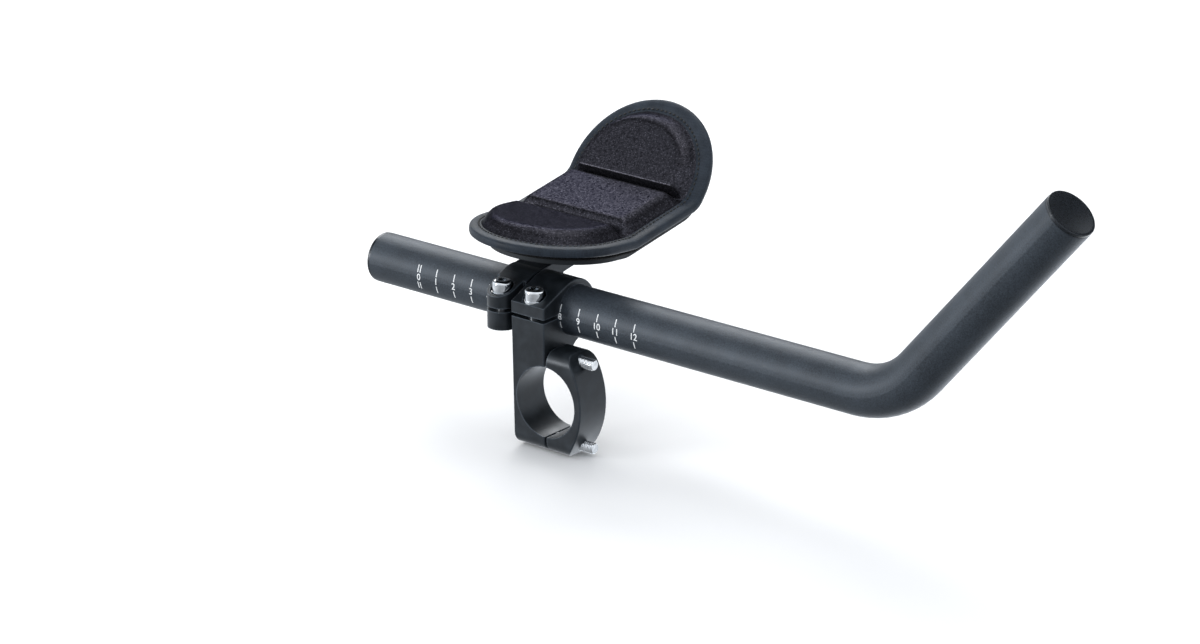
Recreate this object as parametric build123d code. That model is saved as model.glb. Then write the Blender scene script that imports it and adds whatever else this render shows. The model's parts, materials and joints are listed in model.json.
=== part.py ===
from build123d import *
from math import acos, atan2, cos, hypot, radians, sin, sqrt, tan
import os

# Left-hand extension of an aero handlebar, with its armrest, in millimetres.
# The origin lies on the handlebar's axis in the middle of the clamp.
# X points to the rider's right, which is inboard here, Y forward along the straight tube, Z up.

# Fits and gaps
running_fit = 0.05
thread_fit = 0.05
screw_play = 0.25
head_play = 0.35
layer_gap = 0.1
clamp_spacing = 0.8
edge_round = 0.7

# Extension tube
tube_diameter = 22.2
tube_wall = 2.0
tube_rear = -110.4
tube_knee = 166.8
tube_rise_angle = 50.0
tube_bend = 40.0
grip_length = 125.2
plug_flange = 1.5
plug_stem = 10.0
plug_dish = 0.9
plug_lip = 1.2

# Handlebar clamp
bar_diameter = 31.8
clamp_width = 17.9
clamp_split = 1.2
clamp_half_height = 23.0
clamp_bolt_rise = 18.9
cap_wall = 3.2
cap_bulge_radius = 36.0
lug_round = 5.5
bolt_stand_out = 6.2
bracket_depth = 18.5
pillar_lean = 1.6

# Tube clamps
tube_offset = 12.05
tube_height = 36.0
ring_wall = 2.55
ring_web_round = 9.0
slit_height = 1.6
ear_height = 6.0
pinch_inset = 5.0
pinch_seat = 6.0
pinch_grip = 17.0

# Screws of the clamps
screw_diameter = 5.0
head_diameter = 8.5
sunk_head_diameter = 7.2
head_height = 5.0
head_crown = 1.6
socket_width = 4.0
socket_depth = 2.6
screw_tip = 0.6
washer_diameter = 9.4
washer_thickness = 1.0

# Armrest clamp and support arm
rest_clamp_width = 16.0
ear_width = 13.0
ear_depth = 9.0
arm_thickness = 7.0
arm_root = 16.0
arm_root_angle = 172.0
arm_root_round = 3.0
paddle_width = 27.0
paddle_inner = 9.0
paddle_outer = 24.0

# Armrest: place of the middle of the pad's edge plane, and its section
rest_outboard = 39.5
rest_height = 30.3
rest_tilt = 9.0
rest_forward = 8.6
base_outer = 19.1
base_inner = 17.6
rest_bend = 10.0
outer_angle = 43.0
inner_angle = 14.8
outer_straight = 2.4
inner_straight = 11.0
rest_half_width = 36.6

# Pad, binding, hook tape and shell
sheet_thickness = 3.0
binding_thickness = 0.9
binding_width = 6.4
binding_fold = 1.0
cushion_height = 6.0
cushion_inset = 6.6
cushion_slope = 30.0
cushion_round = 2.2
cushion_corner = 6.0
tape_thickness = 3.0
tape_inset = 7.4
tape_gap = 1.5
shell_inset = 6.4
shell_inner_trim = 4.0
shell_thickness = 2.4
shell_boss = 3.5
shell_screw_spacing = 22.0
shell_screw_length = 11.0
button_diameter = 9.5
button_height = 2.4
button_crown = 1.5
shell_washer_thickness = 0.8
shell_washer_diameter = 10.0
louvre_count = 6
louvre_pitch = 6.0
louvre_width = 3.4
louvre_length = 19.0
outer_louvre_middle = 8.0
inner_louvre_middle = 11.0

tube_radius = tube_diameter / 2
tube_bore = tube_radius - tube_wall
clamp_bore = tube_radius + running_fit
ring_radius = clamp_bore + ring_wall
bar_bore = bar_diameter / 2 + running_fit
screw_radius = screw_diameter / 2
thread_hole = screw_radius + thread_fit
play_hole = screw_radius + screw_play
tube_x = -tube_offset
inboard_face = clamp_width / 2
bracket_front = -clamp_split / 2
bracket_rear = bracket_front - bracket_depth
rest_clamp_front = bracket_rear - clamp_spacing
rest_clamp_rear = rest_clamp_front - rest_clamp_width
rest_clamp_middle = (rest_clamp_front + rest_clamp_rear) / 2
pinch_x = inboard_face - pinch_inset
ear_end = pinch_x + ear_width / 2

os.makedirs("parts", exist_ok=True)


def save(shape, name):
    export_step(shape, f"parts/{name}.step")


def rod_x(radius, length, y, z):
    return Pos(0, y, z) * Rot(0, 90, 0) * Cylinder(radius, length)


def rod_y(radius, rear, front, x, z):
    return Pos(x, (rear + front) / 2, z) * Rot(90, 0, 0) * Cylinder(radius, front - rear)


def rod_z(radius, bottom, top, x, y):
    return Pos(x, y, (bottom + top) / 2) * Cylinder(radius, top - bottom)


def slab(x_low, x_high, y_low, y_high, z_low, z_high):
    middle = Pos((x_low + x_high) / 2, (y_low + y_high) / 2, (z_low + z_high) / 2)
    return middle * Box(x_high - x_low, y_high - y_low, z_high - z_low)


def across(section, rear, front):
    """A section drawn in X and Z, drawn out along Y."""
    plane = Plane(origin=(0, front, 0), x_dir=(1, 0, 0), z_dir=(0, -1, 0))
    return extrude(plane * section, front - rear, dir=(0, -1, 0))


def raise_up(plan, bottom, top):
    """A plan drawn in X and Y, drawn out along Z."""
    return extrude(Pos(0, 0, bottom) * plan, top - bottom, dir=(0, 0, 1))


def end_edges(solid):
    faces = solid.faces().sort_by(Axis.Y)
    return faces[0].edges() + faces[-1].edges()


def cap_screw(length, diameter, height, crown):
    """A socket screw with the underside of its head at Z = 0 and its tip pointing down."""
    head = Pos(0, 0, height / 2) * Cylinder(diameter / 2, height)
    head = fillet(head.edges().group_by(Axis.Z)[-1], crown)
    shank = Pos(0, 0, -length / 2) * Cylinder(screw_radius, length)
    shank = chamfer(shank.edges().group_by(Axis.Z)[0], screw_tip)
    hexagon = Pos(0, 0, height) * RegularPolygon(socket_width / 2, 6, major_radius=False)
    return head + shank - extrude(hexagon, min(socket_depth, height * 0.7), dir=(0, 0, -1))


def washer(diameter, thickness):
    """A washer that stands on Z = 0."""
    return Pos(0, 0, thickness / 2) * (Cylinder(diameter / 2, thickness) - Cylinder(play_hole, thickness))


def end_plug():
    """A push-in plug whose flange rests on Z = 0, with a dished outer face."""
    rim = tube_radius - layer_gap
    lip = rim - plug_lip
    dish_radius = (lip**2 + plug_dish**2) / (2 * plug_dish)
    flange = Pos(0, 0, plug_flange / 2) * Cylinder(rim, plug_flange)
    flange = fillet(flange.edges().group_by(Axis.Z)[-1], plug_lip / 3)
    stem = Pos(0, 0, -plug_stem / 2) * Cylinder(tube_bore - running_fit, plug_stem)
    dish = Pos(0, 0, plug_flange - plug_dish + dish_radius) * Rot(90, 0, 0) * Sphere(dish_radius)
    return flange + stem - dish


# Extension tube with its two plugs
rise = radians(tube_rise_angle)
grip_way = (0, cos(rise), sin(rise))
grip_reach = grip_length - plug_flange
tube_start = (tube_x, tube_rear + plug_flange, tube_height)
tube_corner = (tube_x, tube_knee, tube_height)
tube_tip = (tube_x, tube_knee + grip_reach * cos(rise), tube_height + grip_reach * sin(rise))
tube_path = FilletPolyline(tube_start, tube_corner, tube_tip, radius=tube_bend)
tube_section = Circle(tube_radius) - Circle(tube_bore)
tube_end_plane = Plane(origin=tube_start, x_dir=(1, 0, 0), z_dir=(0, 1, 0))
save(sweep(tube_end_plane * tube_section, path=tube_path), "extension_tube")
save(Plane(origin=tube_tip, x_dir=(1, 0, 0), z_dir=grip_way) * end_plug(), "grip_end_plug")
save(Plane(origin=tube_start, x_dir=(1, 0, 0), z_dir=(0, -1, 0)) * end_plug(), "rear_end_plug")


def tangent_point(edge_x):
    """Where the sloping top of a clamp's ear meets its ring, measured from the tube's axis."""
    angle = atan2(ear_height, edge_x) + acos(ring_radius / hypot(edge_x, ear_height))
    return ring_radius * cos(angle), ring_radius * sin(angle)


def at_tube(*points):
    return [(tube_x + x, tube_height + z) for x, z in points]


def pinched(solid, y):
    """Cuts the slit and the pinch screw's holes into the ear of a clamp."""
    far = 4 * tube_radius
    low = tube_height - slit_height / 2
    high = tube_height + slit_height / 2
    seat = tube_height + pinch_seat
    solid = solid - slab(tube_x, tube_x + far, y - far, y + far, low, high)
    solid = solid - rod_z(washer_diameter / 2 + head_play, seat, seat + far, pinch_x, y)
    solid = solid - rod_z(play_hole, low, seat, pinch_x, y)
    return solid - rod_z(thread_hole, seat - pinch_grip, high, pinch_x, y)


# Bracket: tube clamp, pillar and rear half of the handlebar clamp
bracket_middle = (bracket_front + bracket_rear) / 2
ear_x = inboard_face - tube_x
pillar_x = -inboard_face - tube_x
foot = -clamp_half_height - tube_height
ring_disc = Pos(tube_x, tube_height) * Circle(ring_radius)
bracket_edge = at_tube(
    (pillar_x, 0), (pillar_x, foot), (ear_x, foot), (ear_x, ear_height), tangent_point(ear_x)
)
bracket_section = ring_disc + Polygon(*bracket_edge, align=None)
web_corner = (-inboard_face, tube_height - sqrt(ring_radius**2 - pillar_x**2), 0)
bracket_section = fillet(bracket_section.vertices().sort_by_distance(web_corner)[0], ring_web_round)
bracket_section = fillet(bracket_section.vertices().group_by(Axis.Y)[0], lug_round)
bracket = across(bracket_section, bracket_rear, bracket_front)
foot_rear = bracket_rear + pillar_lean
lean_edge = Polygon(
    (bracket_rear, tube_height + ring_radius),
    (bracket_rear - clamp_width, tube_height + ring_radius),
    (bracket_rear - clamp_width, -clamp_half_height),
    (foot_rear, -clamp_half_height),
    align=None,
)
bracket = bracket - extrude(Plane.YZ * lean_edge, 4 * tube_radius, both=True)
bracket = fillet(end_edges(bracket), edge_round)
bracket = bracket - rod_y(clamp_bore, bracket_rear - 1, bracket_front + 1, tube_x, tube_height)
bracket = bracket - rod_x(bar_bore, clamp_width * 2, 0, 0)
bracket = pinched(bracket, bracket_middle)
clamp_seat = foot_rear + head_height + screw_play
for side in (1, -1):
    bolt_z = side * clamp_bolt_rise
    bracket = bracket - rod_y(play_hole, bracket_rear - 1, bracket_front + 1, 0, bolt_z)
    bracket = bracket - rod_y(sunk_head_diameter / 2 + screw_play, bracket_rear - 1, clamp_seat, 0, bolt_z)
save(bracket, "handlebar_bracket")

# Cap: front half of the handlebar clamp
cap_rear = clamp_split / 2
cap_front = bar_bore + cap_wall


def cap_front_at(height):
    return cap_front - cap_bulge_radius + sqrt(cap_bulge_radius**2 - height**2)


cap_outline = RectangleRounded(clamp_width, 2 * clamp_half_height, lug_round)
cap = across(cap_outline, cap_rear, cap_front)
cap = cap & rod_x(cap_bulge_radius, clamp_width * 2, cap_front - cap_bulge_radius, 0)
cap = fillet(cap.faces().sort_by(Axis.Y)[-1].edges(), edge_round)
cap = cap - rod_x(bar_bore, clamp_width * 2, 0, 0)
bolt_tip = cap_front_at(clamp_bolt_rise) + bolt_stand_out
for name, side in (("upper", 1), ("lower", -1)):
    bolt_z = side * clamp_bolt_rise
    cap = cap - rod_y(thread_hole, 0, cap_front + 1, 0, bolt_z)
    bolt = cap_screw(bolt_tip - clamp_seat, sunk_head_diameter, head_height, head_crown)
    save(Plane(origin=(0, clamp_seat, bolt_z), x_dir=(1, 0, 0), z_dir=(0, -1, 0)) * bolt, f"{name}_clamp_bolt")
save(cap, "handlebar_clamp_cap")

# Pinch screws of the two tube clamps
for name, y in (("bracket", bracket_middle), ("armrest", rest_clamp_middle)):
    seat = Pos(pinch_x, y, tube_height + pinch_seat)
    pinch_length = pinch_grip + washer_thickness - 1
    save(seat * washer(washer_diameter, washer_thickness), f"{name}_pinch_washer")
    pinch = cap_screw(pinch_length, head_diameter, head_height, head_crown)
    save(seat * Pos(0, 0, washer_thickness) * pinch, f"{name}_pinch_bolt")

# Heights of the armrest's layers above the middle of the pad's edge
sheet_half = sheet_thickness / 2
binding_half = sheet_half + layer_gap + binding_thickness
tape_top = -sheet_half - layer_gap
tape_bottom = tape_top - tape_thickness
shell_top = tape_bottom - layer_gap
shell_bottom = shell_top - shell_thickness
arm_top = shell_bottom - shell_boss
arm_bottom = arm_top - arm_thickness

# Tilted frame of the armrest, over the middle of its clamp
tilt = radians(rest_tilt)
rest_frame = Plane(
    origin=(tube_x - rest_outboard, rest_clamp_middle, tube_height + rest_height),
    x_dir=(cos(tilt), 0, -sin(tilt)),
    z_dir=(sin(tilt), 0, cos(tilt)),
)


def arm_line(x, height):
    """Height over the tube's axis of a layer of the armrest, at x from the tube's axis."""
    along = (x + rest_outboard - height * sin(tilt)) / cos(tilt)
    return rest_height - along * sin(tilt) + height * cos(tilt)


# Armrest clamp: ring, round ear and support arm
rest_ear = ear_end - tube_x
touch_x, touch_z = tangent_point(rest_ear)
slope = (touch_z - ear_height) / (touch_x - rest_ear)
crest_x = (arm_line(0, arm_top) - ear_height + slope * rest_ear) / (slope + tan(tilt))
root_angle = radians(arm_root_angle)
clamp_edge = at_tube(
    (rest_ear, ear_height),
    (crest_x, arm_line(crest_x, arm_top)),
    (-arm_root, arm_line(-arm_root, arm_top)),
    (-arm_root, arm_line(-arm_root, arm_bottom)),
    (ring_radius * cos(root_angle), ring_radius * sin(root_angle)),
    (0, -ear_depth),
    (rest_ear, -ear_depth),
)
clamp_section = ring_disc + Polygon(*clamp_edge, align=None)
root_corner = (tube_x + ring_radius * cos(root_angle), tube_height + ring_radius * sin(root_angle), 0)
clamp_section = fillet(clamp_section.vertices().sort_by_distance(root_corner)[0], arm_root_round)
rest_clamp = across(clamp_section, rest_clamp_rear, rest_clamp_front)
rest_clamp = fillet(end_edges(rest_clamp), edge_round)
body_end = tube_x + ring_radius * 0.7
plan = Pos(body_end - 2 * ring_radius, rest_clamp_middle) * Rectangle(4 * ring_radius, rest_clamp_width)
plan = plan + Pos((body_end + pinch_x) / 2, rest_clamp_middle) * Rectangle(pinch_x - body_end, ear_width)
plan = plan + Pos(pinch_x, rest_clamp_middle) * Circle(ear_width / 2)
rest_clamp = rest_clamp & raise_up(plan, 0, 4 * tube_height)
paddle_end = paddle_outer - paddle_width / 2
arm_start = rest_outboard - arm_root + arm_thickness / 2
arm_plan = Polygon(
    (arm_start, rest_clamp_width / 2),
    (paddle_inner + paddle_width / 3, rest_clamp_width / 2),
    (paddle_inner, paddle_width / 2),
    (-paddle_end, paddle_width / 2),
    (-paddle_end, -paddle_width / 2),
    (paddle_inner, -paddle_width / 2),
    (paddle_inner + paddle_width / 3, -rest_clamp_width / 2),
    (arm_start, -rest_clamp_width / 2),
    align=None,
)
arm_plan = arm_plan + Pos(-paddle_end, 0) * Circle(paddle_width / 2)
arm = raise_up(arm_plan, arm_bottom, arm_top)
for side in (1, -1):
    arm = arm - rod_z(thread_hole, arm_bottom - 1, arm_top + 1, side * shell_screw_spacing / 2, 0)
rest_clamp = rest_clamp + rest_frame * arm
rest_clamp = rest_clamp - rod_y(clamp_bore, rest_clamp_rear - 1, rest_clamp_front + 1, tube_x, tube_height)
save(pinched(rest_clamp, rest_clamp_middle), "armrest_clamp")

# Armrest section: a flat base, two bends and two flat wings with rounded ends
out = radians(outer_angle)
inn = radians(inner_angle)
outer_wing = Plane(
    origin=(-base_outer - rest_bend * sin(out), 0, rest_bend * (1 - cos(out))),
    x_dir=(-cos(out), 0, sin(out)),
    z_dir=(sin(out), 0, cos(out)),
)
inner_wing = Plane(
    origin=(base_inner + rest_bend * sin(inn), 0, rest_bend * (1 - cos(inn))),
    x_dir=(cos(inn), 0, sin(inn)),
    z_dir=(-sin(inn), 0, cos(inn)),
)


def band(low, high, inset):
    """The base with its two bends, between two heights."""
    edges = []
    ends = []
    for height in (low, high):
        radius = rest_bend - height
        outer_arc = CenterArc((-base_outer, rest_bend), radius, 270 - outer_angle, outer_angle)
        inner_arc = CenterArc((base_inner, rest_bend), radius, 270, inner_angle)
        edges += [outer_arc, Line(outer_arc @ 1, inner_arc @ 0), inner_arc]
        ends.append((outer_arc @ 0, inner_arc @ 1))
    edges += [Line(ends[0][0], ends[1][0]), Line(ends[0][1], ends[1][1])]
    width = rest_half_width - inset
    return across(make_face(edges), -width, width)


def wing_outline(straight, inset, start):
    """A wing seen along its normal, from its bend to its half-round end."""
    width = rest_half_width - inset
    straight_part = Pos((start + straight) / 2, 0) * Rectangle(straight - start, 2 * width)
    keep = Pos(straight + width, 0) * Rectangle(2 * width, 3 * width)
    return straight_part + (Pos(straight, 0) * Circle(width) & keep)


def wing(frame, straight, low, high, inset, start=0):
    return frame * raise_up(wing_outline(straight, inset, start), low, high)


def leaf(low, high, inset, inner_trim=0):
    """A layer of the armrest that follows its whole section."""
    layer = band(low, high, inset)
    layer = layer + wing(outer_wing, outer_straight, low, high, inset)
    return layer + wing(inner_wing, inner_straight - inner_trim, low, high, inset)


def raised(outline):
    """A cushion with sloping sides and rounded upper edges, on the pad's sheet."""
    body = extrude(Pos(0, 0, sheet_half) * outline, cushion_height, dir=(0, 0, 1), taper=cushion_slope)
    return fillet(body.edges().group_by(Axis.Z)[-1], cushion_round)


def wing_cushion(straight):
    core = wing_outline(straight, cushion_inset + cushion_corner, layer_gap)
    trim = Pos(layer_gap + cushion_corner / 2, 0) * Rectangle(cushion_corner, 2 * rest_half_width)
    return raised(offset(core - trim, cushion_corner))


cup_frame = rest_frame * Pos(0, rest_forward, 0)

# Pad: a sheet with three cushions, and the tape that binds its edge
pad = leaf(-sheet_half, sheet_half, binding_fold + layer_gap)
pad = pad + outer_wing * wing_cushion(outer_straight)
pad = pad + inner_wing * wing_cushion(inner_straight)
middle_length = base_outer + base_inner
middle_width = 2 * (rest_half_width - cushion_inset)
middle_outline = Pos((base_inner - base_outer) / 2, 0) * RectangleRounded(
    middle_length, middle_width, cushion_corner
)
pad = pad + raised(middle_outline)
save(cup_frame * pad, "arm_pad")

binding = leaf(-binding_half, binding_half, 0)
binding = binding - leaf(-sheet_half - layer_gap, sheet_half + layer_gap, binding_fold)
binding = binding - leaf(-binding_half - 1, binding_half + 1, binding_width)
save(cup_frame * binding, "pad_binding")

# Hook tape between the pad and the shell
save(cup_frame * band(tape_bottom, tape_top, tape_inset), "hook_tape_base")
outer_tape = wing(outer_wing, outer_straight, tape_bottom, tape_top, tape_inset, tape_gap)
inner_tape_straight = inner_straight - shell_inner_trim
inner_tape = wing(inner_wing, inner_tape_straight, tape_bottom, tape_top, tape_inset, tape_gap)
save(cup_frame * outer_tape, "hook_tape_outer")
save(cup_frame * inner_tape, "hook_tape_inner")

# Shell with its boss, louvres and two screws
shell = leaf(shell_bottom, shell_top, shell_inset, shell_inner_trim)
boss_plan = Pos(-paddle_end, 0) * Circle(paddle_width / 2)
boss_plan = boss_plan + Pos((paddle_inner - paddle_end) / 2, 0) * Rectangle(
    paddle_inner + paddle_end, paddle_width
)
boss = raise_up(boss_plan, arm_top, shell_bottom + shell_thickness / 2)
shell = shell + Pos(0, -rest_forward, 0) * boss
washer_seat = shell_top - button_height - shell_washer_thickness - screw_play
for frame, middle in ((outer_wing, outer_louvre_middle), (inner_wing, inner_louvre_middle)):
    for k in range(louvre_count):
        across_y = (k - (louvre_count - 1) / 2) * louvre_pitch
        slot = Pos(middle, across_y) * SlotOverall(louvre_length, louvre_width)
        shell = shell - frame * raise_up(slot, shell_bottom - 2, shell_top + 2)
for name, side in (("outer", -1), ("inner", 1)):
    u = side * shell_screw_spacing / 2
    place = Pos(u, -rest_forward, washer_seat)
    shell = shell - rod_z(play_hole, arm_top - 1, shell_top + 1, u, -rest_forward)
    shell = shell - rod_z(
        shell_washer_diameter / 2 + head_play, washer_seat, shell_top + 1, u, -rest_forward
    )
    save(cup_frame * place * washer(shell_washer_diameter, shell_washer_thickness), f"shell_washer_{name}")
    button = cap_screw(shell_screw_length, button_diameter, button_height, button_crown)
    save(cup_frame * place * Pos(0, 0, shell_washer_thickness) * button, f"shell_screw_{name}")
save(cup_frame * shell, "armrest_shell")
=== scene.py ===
# %% [markdown]
# # An aero handlebar extension
# The solids come from CAD and stay as they are: a bent tube in two split clamps, a bar clamp and an
# armrest. Blender gives them their finishes, and adds what CAD leaves out: the soft pad with its sewn
# edge, the printed scale on the tube and the threads of the clamp's bolts.

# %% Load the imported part
import json
import math

import bmesh
import bpy
import numpy as np
from mathutils import Matrix, Vector


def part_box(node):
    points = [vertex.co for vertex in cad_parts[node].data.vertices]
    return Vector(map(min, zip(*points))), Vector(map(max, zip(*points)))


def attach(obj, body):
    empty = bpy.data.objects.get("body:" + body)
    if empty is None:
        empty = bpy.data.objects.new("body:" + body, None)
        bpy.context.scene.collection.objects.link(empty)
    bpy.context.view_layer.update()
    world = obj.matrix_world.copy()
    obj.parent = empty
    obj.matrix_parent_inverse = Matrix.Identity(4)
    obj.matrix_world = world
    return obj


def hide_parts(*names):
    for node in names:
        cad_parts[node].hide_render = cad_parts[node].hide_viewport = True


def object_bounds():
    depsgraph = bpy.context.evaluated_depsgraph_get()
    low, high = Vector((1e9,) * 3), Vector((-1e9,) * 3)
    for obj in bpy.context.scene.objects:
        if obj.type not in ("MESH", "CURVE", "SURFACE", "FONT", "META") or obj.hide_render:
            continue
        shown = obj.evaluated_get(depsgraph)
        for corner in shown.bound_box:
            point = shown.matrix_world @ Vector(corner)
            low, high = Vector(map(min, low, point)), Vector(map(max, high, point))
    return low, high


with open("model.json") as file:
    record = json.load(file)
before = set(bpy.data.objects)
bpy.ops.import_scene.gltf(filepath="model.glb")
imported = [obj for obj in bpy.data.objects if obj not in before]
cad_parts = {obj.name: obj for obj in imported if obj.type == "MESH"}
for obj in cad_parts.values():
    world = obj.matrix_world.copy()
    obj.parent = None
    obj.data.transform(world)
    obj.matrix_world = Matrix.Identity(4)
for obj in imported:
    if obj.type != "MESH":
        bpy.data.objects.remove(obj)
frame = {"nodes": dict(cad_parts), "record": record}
nodes = frame["nodes"]
cad_low, cad_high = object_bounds()
scene = bpy.context.scene
MM = 0.001
print("CAD nodes:", len(nodes), "box in mm:", [round(v / MM, 1) for v in cad_high - cad_low])

# %% [markdown]
# A few small helpers serve every finish below. Colours are written as sRGB hex codes, and a shader needs
# them linear. A node is added with its settings and its links in one call, so that each material reads as a
# short recipe. Where a node is fed to another one, its first output is meant.

# %% Colour and node helpers


def linear(hex_code):
    channels = [int(hex_code[i : i + 2], 16) / 255 for i in (1, 3, 5)]
    return tuple(c / 12.92 if c <= 0.04045 else ((c + 0.055) / 1.055) ** 2.4 for c in channels) + (1.0,)


def add(tree, kind, feeds=None, to=None, **settings):
    """Adds a node. Feeds maps its inputs to values, sockets, nodes or lists of them, and its first output
    goes to the socket named as to."""
    node = tree.nodes.new(kind)
    for name, value in settings.items():
        setattr(node, name, value)
    for key, value in (feeds or {}).items():
        for item in value if isinstance(value, list) else [value]:
            source = item.outputs[0] if isinstance(item, bpy.types.Node) else item
            if isinstance(source, bpy.types.NodeSocket):
                tree.links.new(source, node.inputs[key])
            else:
                node.inputs[key].default_value = source
    if to is not None:
        tree.links.new(node.outputs[0], to)
    return node


def new_finish(name, surface_values):
    """A material with a Principled surface; returns it with its tree, its surface and Object coordinates."""
    material = bpy.data.materials.new(name)
    material.use_nodes = True
    tree = material.node_tree
    tree.nodes.clear()
    surface = add(tree, "ShaderNodeBsdfPrincipled", surface_values)
    add(tree, "ShaderNodeOutputMaterial", {"Surface": surface})
    place = add(tree, "ShaderNodeTexCoord").outputs["Object"]
    return material, tree, surface, place


def paint(tree, surface, factor, dark, light, low=0.35, high=0.65):
    """Colours a surface from one tone to the other while the factor rises from low to high."""
    ramp = add(tree, "ShaderNodeValToRGB", {"Fac": factor}, to=surface.inputs["Base Color"]).color_ramp
    ramp.elements[0].position = low
    ramp.elements[0].color = linear(dark)
    ramp.elements[1].position = high
    ramp.elements[1].color = linear(light)


def per_mm(size):
    """Texture scale at which one cell of a pattern is this many millimetres wide."""
    return 1 / (size * MM)


NOISE_SPAN = {"From Min": 0.3, "From Max": 0.7}
print("half-bright grey is", round(linear("#808080")[0], 3), "in linear light")

# %% [markdown]
# The tube is drawn aluminium, blasted with fine grit and then anodised black. The grit leaves a dull
# surface with tiny pits that sparkle a little. The real grit is about 0.2 mm, too fine for the picture, so
# the pits are drawn 0.6 mm wide.

# %% Blasted black anodised aluminium
ANODISED_TINT = linear("#e8eef5")
blasted, tree, surface, place = new_finish(
    "blasted_black_anodised_aluminium", {"Metallic": 0.2, "Specular Tint": ANODISED_TINT}
)
pits = add(tree, "ShaderNodeTexNoise", {"Vector": place, "Scale": per_mm(0.6), "Detail": 3.0})
clouds = add(tree, "ShaderNodeTexNoise", {"Vector": place, "Scale": per_mm(14.0), "Detail": 2.0})
shade = add(tree, "ShaderNodeMath", {0: pits, 1: 0.75, 2: 0.125}, operation="MULTIPLY_ADD")
mixed = add(tree, "ShaderNodeMath", {0: clouds, 1: 0.3, 2: shade}, operation="MULTIPLY_ADD")
paint(tree, surface, mixed, "#111418", "#424a53", 0.36, 0.94)
add(
    tree,
    "ShaderNodeMapRange",
    {"Value": pits, **NOISE_SPAN, "To Min": 0.4, "To Max": 0.56},
    to=surface.inputs["Roughness"],
)
add(
    tree,
    "ShaderNodeBump",
    {"Height": pits, "Strength": 0.8, "Distance": 0.1 * MM},
    to=surface.inputs["Normal"],
)
print("finish:", blasted.name)

# %% [markdown]
# The clamps are forged and milled aluminium with a finer, smoother black anodising. It is satin, so the
# faces take soft reflections. The corners are painted lighter in the colour: a little rubbed wear, and a
# painted highlight where their edges would catch the light. The Bevel node finds the corners: its rounded
# direction leaves the true one only there.

# %% Satin black anodised aluminium
satin, tree, surface, place = new_finish(
    "satin_black_anodised_aluminium", {"Metallic": 0.2, "Specular Tint": ANODISED_TINT}
)
grain = add(tree, "ShaderNodeTexNoise", {"Vector": place, "Scale": per_mm(0.5), "Detail": 2.0})
wear = add(tree, "ShaderNodeTexNoise", {"Vector": place, "Scale": per_mm(6.0), "Detail": 3.0})
rounded = add(tree, "ShaderNodeBevel", {"Radius": 0.9 * MM})
straight = add(tree, "ShaderNodeNewGeometry").outputs["Normal"]
alike = add(tree, "ShaderNodeVectorMath", {0: rounded, 1: straight}, operation="DOT_PRODUCT")
# Painted highlight with a little rubbed wear: the colour turns lighter at the corners, where the rounded and
# true directions part.
edge_wear_and_highlight = add(
    tree,
    "ShaderNodeMapRange",
    {"Value": alike.outputs["Value"], "From Min": 0.99, "From Max": 0.88, "To Min": 0.0, "To Max": 0.6},
)
tone = add(tree, "ShaderNodeMath", {0: wear, 1: 0.3, 2: edge_wear_and_highlight}, operation="MULTIPLY_ADD")
paint(tree, surface, tone, "#15191d", "#525b64", 0.12, 0.9)
add(
    tree,
    "ShaderNodeMapRange",
    {"Value": wear, **NOISE_SPAN, "To Min": 0.34, "To Max": 0.44},
    to=surface.inputs["Roughness"],
)
add(
    tree,
    "ShaderNodeBump",
    {"Height": grain, "Strength": 0.15, "Distance": 0.04 * MM},
    to=surface.inputs["Normal"],
)
print("finish:", satin.name)

# %% [markdown]
# Screws and washers are stainless steel, turned and then polished. What catches the eye is the mirror of
# the studio in them, broken by faint turning marks.

# %% Polished stainless steel
steel, tree, surface, place = new_finish("polished_stainless_steel", {"Metallic": 1.0})
marks = add(tree, "ShaderNodeTexNoise", {"Vector": place, "Scale": per_mm(3.0), "Detail": 2.0})
paint(tree, surface, marks, "#c8ccd0", "#e4e6e8")
add(
    tree,
    "ShaderNodeMapRange",
    {"Value": marks, **NOISE_SPAN, "To Min": 0.06, "To Max": 0.13},
    to=surface.inputs["Roughness"],
)
print("finish:", steel.name)

# %% [markdown]
# The armrest's shell is moulded nylon with a matt, lightly eroded grain. A moulded edge is never sharp: the
# Bevel node rounds it for the light only, so that the shell's edge draws a thin bright line.

# %% Moulded nylon of the shell
moulded, tree, surface, place = new_finish(
    "moulded_black_nylon", {"Specular IOR Level": 0.4, "Specular Tint": ANODISED_TINT}
)
erosion = add(tree, "ShaderNodeTexVoronoi", {"Vector": place, "Scale": per_mm(0.8)}, feature="SMOOTH_F1")
flow = add(tree, "ShaderNodeTexNoise", {"Vector": place, "Scale": per_mm(18.0), "Detail": 2.0})
soft_edge = add(tree, "ShaderNodeBevel", {"Radius": 0.6 * MM})
paint(tree, surface, flow, "#0e1012", "#181c1f")
add(
    tree,
    "ShaderNodeMapRange",
    {"Value": flow, **NOISE_SPAN, "To Min": 0.48, "To Max": 0.6},
    to=surface.inputs["Roughness"],
)
add(
    tree,
    "ShaderNodeBump",
    {"Height": erosion, "Strength": 0.3, "Distance": 0.06 * MM, "Normal": soft_edge},
    to=surface.inputs["Normal"],
)
print("finish:", moulded.name)

# %% [markdown]
# The plugs in the tube are the same plastic from a finer mould. Their face is silky, so the dish in the plug
# shows as a soft change from dark to less dark.

# %% Silky nylon of the plugs
plug_face, tree, surface, place = new_finish("silky_black_nylon", {"Specular Tint": ANODISED_TINT})
silk = add(tree, "ShaderNodeTexNoise", {"Vector": place, "Scale": per_mm(0.7), "Detail": 2.0})
paint(tree, surface, silk, "#0d1014", "#171c22")
add(
    tree,
    "ShaderNodeMapRange",
    {"Value": silk, **NOISE_SPAN, "To Min": 0.24, "To Max": 0.34},
    to=surface.inputs["Roughness"],
)
add(
    tree,
    "ShaderNodeBump",
    {"Height": silk, "Strength": 0.3, "Distance": 0.06 * MM},
    to=surface.inputs["Normal"],
)
print("finish:", plug_face.name)

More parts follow.
